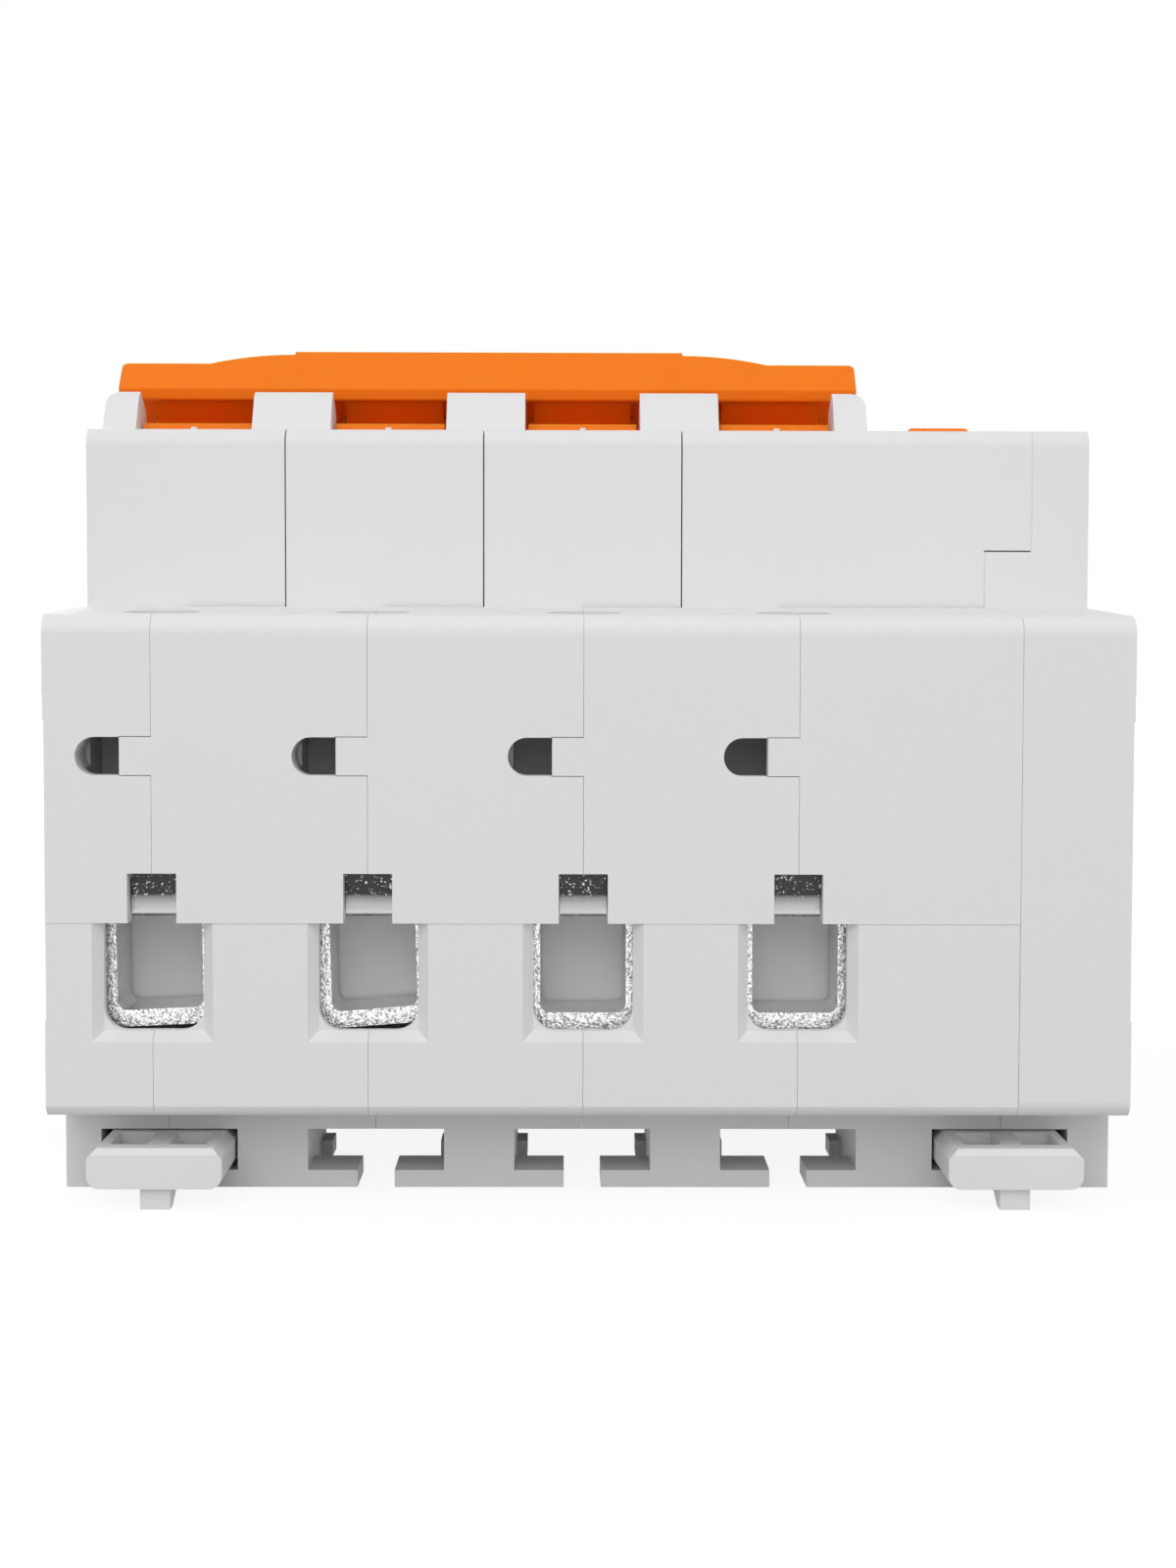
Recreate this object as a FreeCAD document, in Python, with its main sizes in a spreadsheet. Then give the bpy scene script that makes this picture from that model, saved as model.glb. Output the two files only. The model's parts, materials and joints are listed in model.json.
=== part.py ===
import FreeCAD, Part
import math
import os
import re
import Sketcher
from FreeCAD import Vector

# Five-module residual current breaker with overload protection, four poles and a residual section.
# X runs along the rail, Y across it with the outgoing terminals at -Y, Z up from the rail.
# The origin is the middle of the face that seats on the 35 mm rail. All sizes are in millimetres.

SIZES = [
    ("module_width", 17.8, "width of one pole"),
    ("residual_width", 18.8, "width of the residual section"),
    ("cover_width", 9.3, "end cover at the terminals"),
    ("cover_nose_width", 5.1, "end cover at the nose"),
    ("body_length", 85.0, "terminal face to terminal face"),
    ("nose_length", 45.0, "raised front, across the rail"),
    ("foot_setback", 8.3, "foot behind a terminal face"),
    ("base_drop", 5.2, "foot below the rail seat"),
    ("face_low", 2.4, "lower edge of a terminal face above the seat"),
    ("shoulder_height", 44.0, "shoulder above the seat at a terminal face"),
    ("shoulder_rise", 1.0, "rise of the shoulder towards the nose"),
    ("nose_height", 60.95, "nose top above the seat"),
    ("shoulder_round", 1.6, "rounding of the shoulder edge"),
    ("face_round", 1.4, "rounding of the lower edge of a terminal face"),
    ("nose_round", 1.5, "rounding of the nose edge"),
    ("seam", 0.03, "gap between neighbouring shells"),
    ("nose_seam", 0.12, "gap between the shells on the nose"),
    ("tab_play", 0.06, "gap round the tab in a vent"),
    ("nose_gap", 0.25, "gap round the foot of the nose where it stands on the next shell"),
    ("nose_root", 41.5, "level where the nose shells stand on the terminal shells"),
    ("tongue_height", 5.0, "tongue of the end cover on the nose face"),
    ("tongue_rise", 3.3, "foot of that tongue above the root of the nose"),
    ("tongue_depth", 2.0, "thickness of that tongue"),
    ("side_recess", 0.1, "shallow recess in each end face"),
    ("recess_low", 10.4, "lower edge of the end recess"),
    ("recess_high", 35.3, "upper edge of the end recess"),
    ("rail_width", 35.0, "width of the mounting rail"),
    ("rail_play", 0.2, "play between rail and slot on each side"),
    ("rail_lip", 1.25, "room for the rail's flange above the hook"),
    ("seat_relief", 0.3, "relief in the seat above the hook and the clip noses"),
    ("hook_reach", 1.8, "reach of the fixed hook under the rail"),
    ("hook_thickness", 1.9, "thickness of the fixed hook"),
    ("channel_width", 11.75, "clip channel in the foot"),
    ("channel_top", 0.13, "ceiling of the clip channel below the seat"),
    ("flange_thickness", 1.47, "flange under the clip channel"),
    ("flange_gap", 3.2, "slit between the flanges"),
    ("flange_length", 6.2, "flange from the foot's face inwards"),
    ("ledge_gap", 9.9, "clear width between the inner ledges"),
    ("ledge_length", 3.6, "length of the inner ledges"),
    ("clip_width", 11.25, "sliding rail clip"),
    ("clip_play", 0.12, "play above and below a clip"),
    ("clip_round", 1.1, "rounding of a clip's lower edges"),
    ("clip_chamfer", 0.8, "chamfer of a clip's upper edges"),
    ("clip_bevel", 0.5, "bevel along a clip's upper front edge"),
    ("clip_reach", 1.6, "reach of a clip nose under the rail"),
    ("clip_pocket", 0.9, "depth of the pockets on a clip"),
    ("tab_width", 2.5, "pull tab of a clip"),
    ("tab_drop", 1.8, "pull tab below the clip"),
    ("tab_length", 5.6, "pull tab along the clip"),
    ("entry_width", 8.25, "conductor opening"),
    ("entry_low", 9.57, "lower edge of a conductor opening"),
    ("entry_high", 18.6, "upper edge of a conductor opening"),
    ("entry_bevel", 0.95, "bevel round a conductor opening"),
    ("entry_round", 1.9, "corner of a conductor opening"),
    ("notch_width", 4.05, "slit above a conductor opening"),
    ("notch_high", 22.7, "top of that slit"),
    ("face_wall", 1.9, "wall of a terminal face"),
    ("chamber_width", 11.8, "terminal chamber"),
    ("chamber_low", 9.0, "floor of a terminal chamber"),
    ("chamber_high", 34.0, "roof of a terminal chamber"),
    ("chamber_depth", 10.3, "back wall of a terminal chamber behind the face"),
    ("collar_height", 2.3, "collar that keeps a terminal screw"),
    ("driver_radius", 3.2, "driver hole over a terminal screw"),
    ("screw_setback", 6.5, "terminal screw axis behind the face"),
    ("screw_radius", 2.25, "terminal screw shank"),
    ("screw_play", 0.08, "radial play of a screw in its cage and collar"),
    ("screw_head_radius", 2.95, "terminal screw head"),
    ("screw_head_height", 3.4, "terminal screw head"),
    ("screw_tip", 0.3, "gap from a screw tip to the clamping plate"),
    ("recess_width", 0.9, "cross recess in a screw head"),
    ("recess_depth", 1.6, "cross recess in a screw head"),
    ("cage_width", 10.0, "terminal cage"),
    ("cage_setback", 3.1, "front edge of a cage behind the face"),
    ("cage_length", 6.9, "cage along the conductor"),
    ("cage_low", 9.36, "underside of an open cage"),
    ("cage_high", 26.0, "top of an open cage"),
    ("cage_sheet", 1.4, "sheet of a cage"),
    ("cage_roof", 1.8, "threaded top of a cage"),
    ("cage_round", 2.2, "bend of a cage outside"),
    ("plate_low", 18.9, "underside of the clamping plate"),
    ("plate_thickness", 1.5, "clamping plate"),
    ("plate_width", 6.4, "clamping plate"),
    ("plate_reach", 7.5, "clamping plate into the mechanism cavity"),
    ("lip_height", 3.6, "upturned lip of the clamping plate"),
    ("lip_play", 0.06, "play of that lip in the slit of the face"),
    ("vent_height", 3.15, "vent in a terminal face"),
    ("vent_level", 32.4, "middle of that vent above the seat"),
    ("vent_start", 6.25, "outer end of the vent from the pole's middle"),
    ("vent_tab", 2.6, "tab of the next shell that closes the vent's end"),
    ("vent_depth", 5.0, "depth of the vent"),
    ("gauge_width", 1.5, "small slot in the shoulder beside a driver hole"),
    ("gauge_offset", 5.3, "that slot from the pole's middle"),
    ("gauge_setback", 4.0, "that slot behind the terminal face"),
    ("step_depth", 0.08, "step across the lower part of a terminal face"),
    ("partition", 1.5, "wall between a cavity and a module boundary"),
    ("cavity_setback", 15.0, "mechanism cavity behind a terminal face"),
    ("cavity_low", 3.0, "floor of the mechanism cavity"),
    ("cavity_high", 41.0, "roof of the wide part of that cavity"),
    ("nose_cavity_half", 16.6, "cavity in the nose from the middle"),
    ("nose_wall", 2.0, "roof of the nose"),
    ("pivot_height", 55.6, "handle axle above the seat"),
    ("pivot_radius", 1.5, "handle axle"),
    ("pivot_play", 0.05, "radial play of the toggles on the axle"),
    ("toggle_width", 10.0, "toggle along the axle"),
    ("toggle_slot", 10.6, "slot in the nose"),
    ("stem_width", 9.2, "toggle stem"),
    ("drum_radius", 10.8, "toggle drum"),
    ("heel_radius", 16.0, "heel that closes the slot"),
    ("sweep_radius", 16.5, "pocket swept by the heel"),
    ("heel_start", 19.0, "heel from the lever's axis, degrees"),
    ("heel_end", 37.0, "heel from the lever's axis, degrees"),
    ("skirt_start", 110.0, "skirts that close the slot, from the lever's axis, degrees"),
    ("skirt_end", 132.0, "skirts that close the slot, from the lever's axis, degrees"),
    ("rest_tilt", 47.35, "lever from upright when off, degrees"),
    ("bar_left", 1.25, "end of the bar from the left end of the housing"),
    ("bar_right", 1.1, "end of the bar from the right end of the poles"),
    ("bar_root", 13.6, "underside of the bar from the axle"),
    ("bar_top", 16.2, "top of the bar from the axle"),
    ("bar_lip_level", 15.2, "widest line of the lip from the axle"),
    ("bar_lip", 2.1, "front lip from the lever's axis"),
    ("bar_edge", 1.5, "front edge of the bar's top from the lever's axis"),
    ("bar_back", 1.9, "back edge at the ends of the bar"),
    ("bar_back_middle", 3.6, "back edge in the middle of the bar"),
    ("bar_step", 0.4, "small step beside the middle part"),
    ("bar_middle", 36.6, "length of the middle part"),
    ("bar_ease", 7.9, "length of the curve beside the middle part"),
    ("stem_front", 0.5, "front of a stem from the lever's axis"),
    ("web_front", 0.5, "front of the web behind the stems"),
    ("bar_web", 9.5, "lower edge of the web under the bar from the axle"),
    ("guard_inset", 0.6, "end guards from their end of the pole block"),
    ("guard_foot", 17.8, "front of a guard from the middle"),
    ("guard_brow", 15.6, "front top of a guard from the middle"),
    ("guard_crown", 14.7, "highest point of a guard from the middle"),
    ("guard_back", 11.7, "back of a guard bump from the middle"),
    ("guard_height", 3.95, "guard above the nose"),
    ("guard_saddle", 0.4, "ridge between the bumps above the nose"),
    ("guard_round", 1.3, "outer corner of the end guards"),
    ("nib_size", 0.5, "nib on the nose in front of each toggle"),
    ("button_width", 5.7, "test button along the rail"),
    ("button_length", 8.0, "test button across the rail"),
    ("button_offset", 6.6, "middle of the test button from the last pole"),
    ("button_setback", 9.0, "test button from the middle"),
    ("button_proud", 1.0, "test button above the nose"),
    ("button_play", 0.3, "gap round the button"),
    ("button_flange", 1.0, "flange that keeps the button in"),
    ("spring_radius", 1.6, "button spring"),
    ("spring_wire", 0.3, "wire of the button spring"),
    ("spring_length", 6.0, "button spring"),
    ("rivet_radius", 1.5, "housing rivet"),
    ("rivet_play", 0.05, "play of a rivet in its hole"),
    ("rivet_head_radius", 2.7, "rivet head"),
    ("rivet_head", 0.6, "rivet head thickness"),
    ("rivet_sink", 0.75, "depth of the counterbore round a rivet head"),
    ("rivet_setback", 12.65, "outer rivets behind the terminal faces"),
    ("rivet_inset", 3.5, "nose rivets behind the faces of the nose"),
    ("rivet_high", 31.0, "upper outer rivets above the seat"),
    ("rivet_low", 13.0, "lower outer rivets above the seat"),
    ("rivet_nose", 50.5, "nose rivets above the seat"),
    ("chute_plate", 0.9, "arc splitter plate"),
    ("chute_pitch", 2.3, "spacing of the splitter plates"),
    ("chute_gap", 1.1, "gap beside the splitter plates"),
    ("chute_height", 13.0, "splitter plate height"),
    ("chute_start", 13.0, "first splitter plate from the middle, outgoing side"),
    ("chute_card", 0.8, "insulating card that carries the plates"),
    ("coil_radius", 6.0, "magnetic coil outside"),
    ("coil_groove", 0.9, "groove between two turns of the coil"),
    ("coil_play", 0.2, "coil above the clamping plate"),
    ("coil_start", 8.0, "coil from the middle, incoming side"),
    ("coil_end", 6.3, "gap from the coil to the end of its cavity"),
    ("core_radius", 2.4, "hollow of the coil"),
    ("bimetal_gap", 4.5, "bimetal strip from the end of its cavity"),
    ("bimetal_thickness", 1.2, "bimetal strip"),
    ("bimetal_width", 6.0, "bimetal strip along the rail"),
    ("shaft_setback", 4.0, "contact shaft from the middle, outgoing side"),
    ("shaft_level", 35.5, "contact shaft above the seat"),
    ("shaft_radius", 2.2, "contact shaft"),
    ("shaft_play", 0.08, "radial play of the contact shaft in the partitions"),
    ("arm_length", 13.0, "contact arm"),
    ("arm_thickness", 2.4, "contact arm"),
    ("arm_width", 4.0, "contact arm along the rail"),
    ("contact_radius", 1.9, "contact button"),
    ("contact_height", 1.0, "contact button above its arm or plate"),
    ("fixed_face", 3.6, "face of a fixed contact from the middle, incoming side"),
    ("fixed_width", 6.0, "fixed contact plate"),
    ("toroid_radius", 13.0, "summation transformer outside"),
    ("toroid_bore", 6.5, "summation transformer inside"),
    ("toroid_offset", 12.0, "summation transformer from the middle, incoming side"),
    ("relay_length", 17.0, "trip relay across the rail"),
    ("residual_gap", 1.4, "gap beside the transformer and the relay"),
    ("board_gap", 0.4, "gap from the circuit board to the wall"),
    ("relay_height", 20.0, "trip relay"),
    ("board_thickness", 1.6, "circuit board"),
    ("board_length", 40.0, "circuit board across the rail"),
    ("board_height", 34.0, "circuit board"),
]
POLES = 4
SIDES = (("load", -1), ("line", 1))
CHUTE_PLATES = 8
COIL_TURNS = 5
SPRING_TURNS = 6
WIDTH = "(module_width * %d + residual_width)" % POLES

doc = FreeCAD.newDocument("breaker")
sheet = doc.addObject("Spreadsheet::Sheet", "dims")
for row, (alias, value, note) in enumerate(SIZES, start=1):
    sheet.set("A%d" % row, note)
    sheet.set("B%d" % row, str(value))
    sheet.setAlias("B%d" % row, alias)
doc.recompute()
NAMES = {alias for alias, value, note in SIZES}
WORD = re.compile(r"[a-z][a-z0-9_]*")
nodes = []


def size(alias):
    return float(sheet.get(alias))


def bind(thing, prop, formula):
    """Ties a property to a formula of the sheet's sizes."""
    thing.setExpression(prop, WORD.sub(lambda m: "dims." + m.group(0) if m.group(0) in NAMES else m.group(0), formula))


def block(name, x, y, z):
    """A box between two formulas along each axis."""
    box = doc.addObject("Part::Box", name)
    for prop, axis, (low, high) in (("Length", "x", x), ("Width", "y", y), ("Height", "z", z)):
        bind(box, prop, "(%s) - (%s)" % (high, low))
        bind(box, "Placement.Base." + axis, low)
    return box


TURNS = {"x": FreeCAD.Rotation(Vector(0, 1, 0), 90), "y": FreeCAD.Rotation(Vector(1, 0, 0), -90), "z": FreeCAD.Rotation()}


def rod(name, radius, axis, start, length):
    """A cylinder from its start point along an axis."""
    cylinder = doc.addObject("Part::Cylinder", name)
    cylinder.Placement = FreeCAD.Placement(Vector(), TURNS[axis])
    bind(cylinder, "Radius", radius)
    bind(cylinder, "Height", length)
    for letter, formula in zip("xyz", start):
        bind(cylinder, "Placement.Base." + letter, formula)
    return cylinder


def plane_of(body, role):
    return [item for item in body.Origin.OriginFeatures if item.Role == role][0]


def outline(body, name, role, points, offset):
    """A closed sketch of straight lines whose corners are formulas of the sheet."""
    sketch = body.newObject("Sketcher::SketchObject", name)
    sketch.AttachmentSupport = [(plane_of(body, role), "")]
    sketch.MapMode = "FlatFace"
    bind(sketch, "AttachmentOffset.Base.z", offset)
    count = len(points)
    spots = [Vector(10 * math.cos(2 * math.pi * i / count), 10 * math.sin(2 * math.pi * i / count), 0) for i in range(count)]
    for i in range(count):
        sketch.addGeometry(Part.LineSegment(spots[i], spots[(i + 1) % count]), False)
    for i in range(count):
        sketch.addConstraint(Sketcher.Constraint("Coincident", i, 2, (i + 1) % count, 1))
    for i, (across, up) in enumerate(points):
        for kind, letter, formula, value in (("DistanceX", "a", across, spots[i].x), ("DistanceY", "u", up, spots[i].y)):
            index = sketch.addConstraint(Sketcher.Constraint(kind, -1, 1, i, 1, value))
            sketch.renameConstraint(index, "%s%d" % (letter, i))
            bind(sketch, "Constraints.%s%d" % (letter, i), formula)
    return sketch


def prism(name, role, points, low, high):
    """A body padded from one sketch, between two formulas along the sketch plane's normal."""
    body = doc.addObject("PartDesign::Body", name)
    start = "-(%s)" % high if role == "XZ_Plane" else low
    sketch = outline(body, name + "_outline", role, points, start)
    pad = body.newObject("PartDesign::Pad", name + "_pad")
    pad.Profile = sketch
    bind(pad, "Length", "(%s) - (%s)" % (high, low))
    doc.recompute()
    return body


def rounded(body, radius, wanted, kind="Fillet"):
    """Rounds or chamfers the edges of a body that a test picks."""
    before = body.Tip
    names = ["Edge%d" % (i + 1) for i, edge in enumerate(before.Shape.Edges) if wanted(edge)]
    dressed = body.newObject("PartDesign::" + kind, "%s_%s%d" % (body.Name, kind.lower(), len(body.Group)))
    dressed.Base = (before, names)
    bind(dressed, "Radius" if kind == "Fillet" else "Size", radius)
    doc.recompute()
    body.Tip = dressed
    return body


def along(edge, axis):
    """True for a straight edge along the given axis, 0, 1 or 2."""
    if len(edge.Vertexes) != 2 or edge.Curve.TypeId != "Part::GeomLine":
        return False
    step = edge.Vertexes[1].Point - edge.Vertexes[0].Point
    return abs(abs(step[axis]) - step.Length) < 1e-6


def middle(edge):
    return edge.CenterOfMass


def close(value, target):
    return abs(value - target) < 1e-3


def joined(name, parts):
    fuse = doc.addObject("Part::MultiFuse", name)
    fuse.Shapes = parts
    return fuse


def cut(name, base, tool):
    result = doc.addObject("Part::Cut", name)
    result.Base = base
    result.Tool = tool
    return result


def common(name, first, second):
    result = doc.addObject("Part::Common", name)
    result.Base = first
    result.Tool = second
    return result


def group(name, parts):
    compound = doc.addObject("Part::Compound", name)
    compound.Links = parts
    return compound


def node(thing, label):
    thing.Label = label
    nodes.append(thing)
    return thing


def pole_x(index):
    """Middle of a pole, counted from 0 at the left."""
    return "(module_width * %g - %s / 2)" % (index + 0.5, WIDTH)


def bound_x(index):
    """Module boundary, counted from 0 at the left end."""
    return "(module_width * %g - %s / 2)" % (index, WIDTH)


def span(side, near, far):
    """Two distances from the middle, on the outgoing or the incoming side."""
    return ("-(%s)" % far, "-(%s)" % near) if side < 0 else (near, far)


def about(centre, width):
    return ("%s - (%s) / 2" % (centre, width), "%s + (%s) / 2" % (centre, width))


LEFT = "(-%s / 2)" % WIDTH
RIGHT = "(%s / 2)" % WIDTH
FACE = "(body_length / 2)"
NOSE = "(nose_length / 2)"
RAIL = "(rail_width / 2 + rail_play)"
RESIDUAL_X = "(%s - residual_width / 2)" % RIGHT
COVER_X = "(%s - cover_width)" % RIGHT
COVER_NOSE_X = "(%s - cover_nose_width)" % RIGHT
FOOT = "(%s - foot_setback)" % FACE
CAVITY = "(%s - cavity_setback)" % FACE
CHAMBER_BACK = "(%s - chamber_depth)" % FACE
SCREW_Y = "(%s - screw_setback)" % FACE
CAGE_FRONT = "(%s - cage_setback)" % FACE
GUARD_WIDTH = "(module_width - toggle_slot)"
BAR_LENGTH = "(module_width * %d - bar_left - bar_right)" % POLES

AXLE_START = LEFT + " + guard_inset"
AXLE_LENGTH = "(module_width * %d - guard_inset)" % POLES
SHAFT_START = LEFT + " + partition / 2"
SHAFT_LENGTH = "(module_width * %d)" % POLES
CLIP_LOW = "(-(base_drop - flange_thickness) + clip_play)"
CLIP_HIGH = "(-channel_top - clip_play)"
BUTTON_X = "(%s - residual_width + button_offset)" % RIGHT
BUTTON_TOP = "(nose_height + button_proud)"
FLANGE_TOP = "(nose_height - nose_wall - 0.2)"
RESIDUAL_FLOOR = "(cavity_low + 3)"


def housing_blank():
    """The outer form of the whole housing: foot, terminal blocks, shoulders and nose."""
    hook_low = "-(rail_lip + hook_thickness)"
    points = [
        ("-" + FACE, "face_low"),
        ("-" + FOOT, "face_low"),
        ("-" + FOOT, "-base_drop"),
        ("-" + RAIL, "-base_drop"),
        ("-" + RAIL, "seat_relief"),
        ("-(%s - hook_reach - seat_relief)" % RAIL, "seat_relief"),
        ("-(%s - hook_reach - seat_relief)" % RAIL, "0"),
        ("%s - hook_reach - seat_relief" % RAIL, "0"),
        ("%s - hook_reach - seat_relief" % RAIL, "seat_relief"),
        (RAIL, "seat_relief"),
        (RAIL, "-rail_lip"),
        ("%s - hook_reach" % RAIL, "-rail_lip"),
        ("%s - hook_reach" % RAIL, hook_low),
        (RAIL, "-base_drop"),
        (FOOT, "-base_drop"),
        (FOOT, "face_low"),
        (FACE, "face_low"),
        (FACE, "shoulder_height"),
        (NOSE, "shoulder_height + shoulder_rise"),
        (NOSE, "nose_height"),
        ("-" + NOSE, "nose_height"),
        ("-" + NOSE, "shoulder_height + shoulder_rise"),
        ("-" + FACE, "shoulder_height"),
    ]
    body = prism("housing_blank", "YZ_Plane", points, LEFT, RIGHT)
    face, nose = size("body_length") / 2, size("nose_length") / 2

    def edge_at(y, z):
        return lambda e: along(e, 0) and close(abs(middle(e).y), y) and close(middle(e).z, z)

    rounded(body, "shoulder_round", edge_at(face, size("shoulder_height")))
    rounded(body, "face_round", edge_at(face, size("face_low")))
    rounded(body, "nose_round", edge_at(nose, size("nose_height")))
    return body


def guard(name, low, high, outer):
    """A guard beside the toggles: a bump at each end of the handle's travel and a low ridge between."""
    half = [
        ("guard_foot", "nose_height - nose_round"),
        ("guard_foot", "nose_height"),
        ("guard_brow", "nose_height + guard_height - 0.45"),
        ("guard_crown", "nose_height + guard_height"),
        ("guard_back + 0.35", "nose_height + guard_height - 1.45"),
        ("guard_back", "nose_height + guard_height - 2"),
        ("guard_back", "nose_height + guard_saddle"),
    ]
    points = [("-(%s)" % across, up) for across, up in half] + [(across, up) for across, up in reversed(half)]
    body = prism(name, "YZ_Plane", points, low, high)
    if not outer:
        return body
    foot, top = "nose_height - nose_round", "nose_height + guard_height"
    across = prism(name + "_across", "XZ_Plane", [(low, foot), (low, top), (high, top), (high, foot)], "-guard_foot - 1", "guard_foot + 1")
    edge_x = max(v.X * outer for v in body.Shape.Vertexes)
    level = size("nose_height") + size("guard_height")
    rounded(across, "guard_round", lambda e: along(e, 1) and close(middle(e).x * outer, edge_x) and close(middle(e).z, level))
    return common(name + "_rounded", body, across)


def guards():
    parts = [guard("guard_left", LEFT + " + guard_inset", bound_x(0) + " + %s / 2" % GUARD_WIDTH, -1)]
    for index in range(1, POLES):
        low, high = about(bound_x(index), GUARD_WIDTH)
        parts.append(guard("guard_%d" % index, low, high, 0))
    parts.append(guard("guard_right", bound_x(POLES) + " - %s / 2" % GUARD_WIDTH, bound_x(POLES) + " - guard_inset", 1))
    return parts


def entry_tools(tag, x, side):
    """Conductor opening with its bevel, the slit above it, the chamber, driver hole and vent."""
    half = "entry_width / 2"
    inner = [("%s - %s" % (x, half), "entry_high"), ("%s - %s" % (x, half), "entry_low"),
             ("%s + %s" % (x, half), "entry_low"), ("%s + %s" % (x, half), "entry_high")]
    low, high = span(side, FACE + " - face_wall - 0.1", FACE + " + 1")
    hole = prism("entry_" + tag, "XZ_Plane", inner, low, high)
    rounded(hole, "entry_round", lambda e: along(e, 1) and close(middle(e).z, size("entry_low")))
    wide = [("%s - %s - entry_bevel" % (x, half), "entry_high"),
            ("%s - %s - entry_bevel" % (x, half), "entry_low - entry_bevel"),
            ("%s + %s + entry_bevel" % (x, half), "entry_low - entry_bevel"),
            ("%s + %s + entry_bevel" % (x, half), "entry_high")]
    mouth = doc.addObject("PartDesign::Body", "mouth_" + tag)
    flat = "body_length / 2"
    outer_sketch = outline(mouth, "mouth_outer_" + tag, "XZ_Plane", wide, flat if side < 0 else "-" + flat)
    inner_sketch = outline(mouth, "mouth_inner_" + tag, "XZ_Plane", inner,
                           ("%s - entry_bevel" if side < 0 else "-(%s - entry_bevel)") % flat)
    loft = mouth.newObject("PartDesign::AdditiveLoft", "mouth_loft_" + tag)
    loft.Profile = outer_sketch
    loft.Sections = [inner_sketch]
    loft.Ruled = True
    doc.recompute()
    slit = block("slit_" + tag, about(x, "notch_width"), (low, high), ("entry_high - 0.01", "notch_high"))
    chamber = block("chamber_" + tag, about(x, "chamber_width"), span(side, CHAMBER_BACK, FACE + " - face_wall"),
                    ("chamber_low", "chamber_high"))
    axis_y = "%d * %s" % (side, SCREW_Y)
    collar = rod("collar_" + tag, "screw_radius + screw_play", "z", (x, axis_y, "chamber_high - 0.1"), "collar_height + 0.2")
    driver = rod("driver_" + tag, "driver_radius", "z", (x, axis_y, "chamber_high + collar_height"),
                 "shoulder_height - chamber_high")
    passage = block("passage_" + tag, about(x, "plate_width + 2 * lip_play"), span(side, CAVITY + " - 0.1", CHAMBER_BACK + " + 0.1"),
                    ("plate_low", "plate_low + plate_thickness + lip_play"))
    vent = block("vent_" + tag, ("%s - vent_start + vent_height / 2" % x, "%s - vent_tab" % x),
                 span(side, FACE + " - vent_depth", FACE + " + 1"), ("vent_level - vent_height / 2", "vent_level + vent_height / 2"))
    vent_y = FACE + " - vent_depth" if side > 0 else "-(%s + 1)" % FACE
    vent_end = rod("vent_end_" + tag, "vent_height / 2", "y", ("%s - vent_start + vent_height / 2" % x, vent_y, "vent_level"),
                   "vent_depth + 1")
    gauge = block("gauge_" + tag, ("%s - gauge_offset - gauge_width" % x, "%s - gauge_offset" % x),
                  about("%d * (%s - gauge_setback)" % (side, FACE), "gauge_width * 0.7"), ("shoulder_height - 1.2", "shoulder_height + 2"))
    return [hole, mouth, slit, chamber, collar, driver, passage, vent, vent_end, gauge]


def channel_tools(tag, x, side):
    """Clip channel in the foot: a flat slot closed below by flanges with a slit, and inner ledges."""
    near, far = RAIL + " - 0.1", FOOT + " + 1"
    slot = block("channel_" + tag, about(x, "channel_width"), span(side, near, far),
                 ("-(base_drop - flange_thickness)", "-channel_top"))
    slit = block("channel_slit_" + tag, about(x, "flange_gap"), span(side, near, far),
                 ("-base_drop - 1", "-(base_drop - flange_thickness) + 0.01"))
    inner = block("channel_inner_" + tag, about(x, "ledge_gap"), span(side, near, FOOT + " - flange_length"),
                  ("-base_drop - 1", "-(base_drop - flange_thickness) + 0.01"))
    window = block("channel_window_" + tag, about(x, "channel_width"),
                   span(side, RAIL + " + ledge_length", FOOT + " - flange_length"),
                   ("-base_drop - 1", "-(base_drop - flange_thickness) + 0.01"))
    return [slot, slit, inner, window]


def cavity_tools():
    """Mechanism room of each pole, the slot for its toggle and the room of the residual section."""
    tools = []
    for index in range(POLES):
        x = pole_x(index)
        room = ("%s + partition" % bound_x(index), "%s - partition" % bound_x(index + 1))
        tools.append(block("room_%d" % index, room, ("-" + CAVITY, CAVITY), ("cavity_low", "cavity_high")))
        tools.append(block("nose_room_%d" % index, room, ("-nose_cavity_half", "nose_cavity_half"),
                           ("cavity_high - 0.1", "nose_height - nose_wall")))
        low, high = about(x, "toggle_slot")
        tools.append(rod("toggle_pocket_%d" % index, "sweep_radius", "x", (low, "0", "pivot_height"), "toggle_slot"))
    room = ("%s + partition" % bound_x(POLES), RIGHT + " - partition")
    tools.append(block("residual_room", room, ("-(%s - face_wall)" % FACE, "%s - face_wall" % FACE),
                       (RESIDUAL_FLOOR, "cavity_high")))
    tools.append(block("residual_nose_room", room, ("-nose_cavity_half", "nose_cavity_half"),
                       ("cavity_high - 0.1", "nose_height - nose_wall")))
    tools.append(block("button_hole", about(BUTTON_X, "button_width + 2 * button_play"),
                       ("-button_setback - button_length / 2 - button_play", "-button_setback + button_length / 2 + button_play"),
                       ("nose_height - nose_wall - 0.1", "nose_height + 1")))
    tools.append(rod("axle_hole", "pivot_radius + pivot_play", "x", (AXLE_START, "0", "pivot_height"), AXLE_LENGTH))
    tools.append(rod("shaft_hole", "shaft_radius + shaft_play", "x", (SHAFT_START, "-shaft_setback", "shaft_level"), SHAFT_LENGTH))
    return tools


RIVETS = [("outer_high", "(%s - rivet_setback)" % FACE, "rivet_high"), ("outer_low", "(%s - rivet_setback)" % FACE, "rivet_low"),
          ("nose", "(%s - rivet_inset)" % NOSE, "rivet_nose")]


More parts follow.
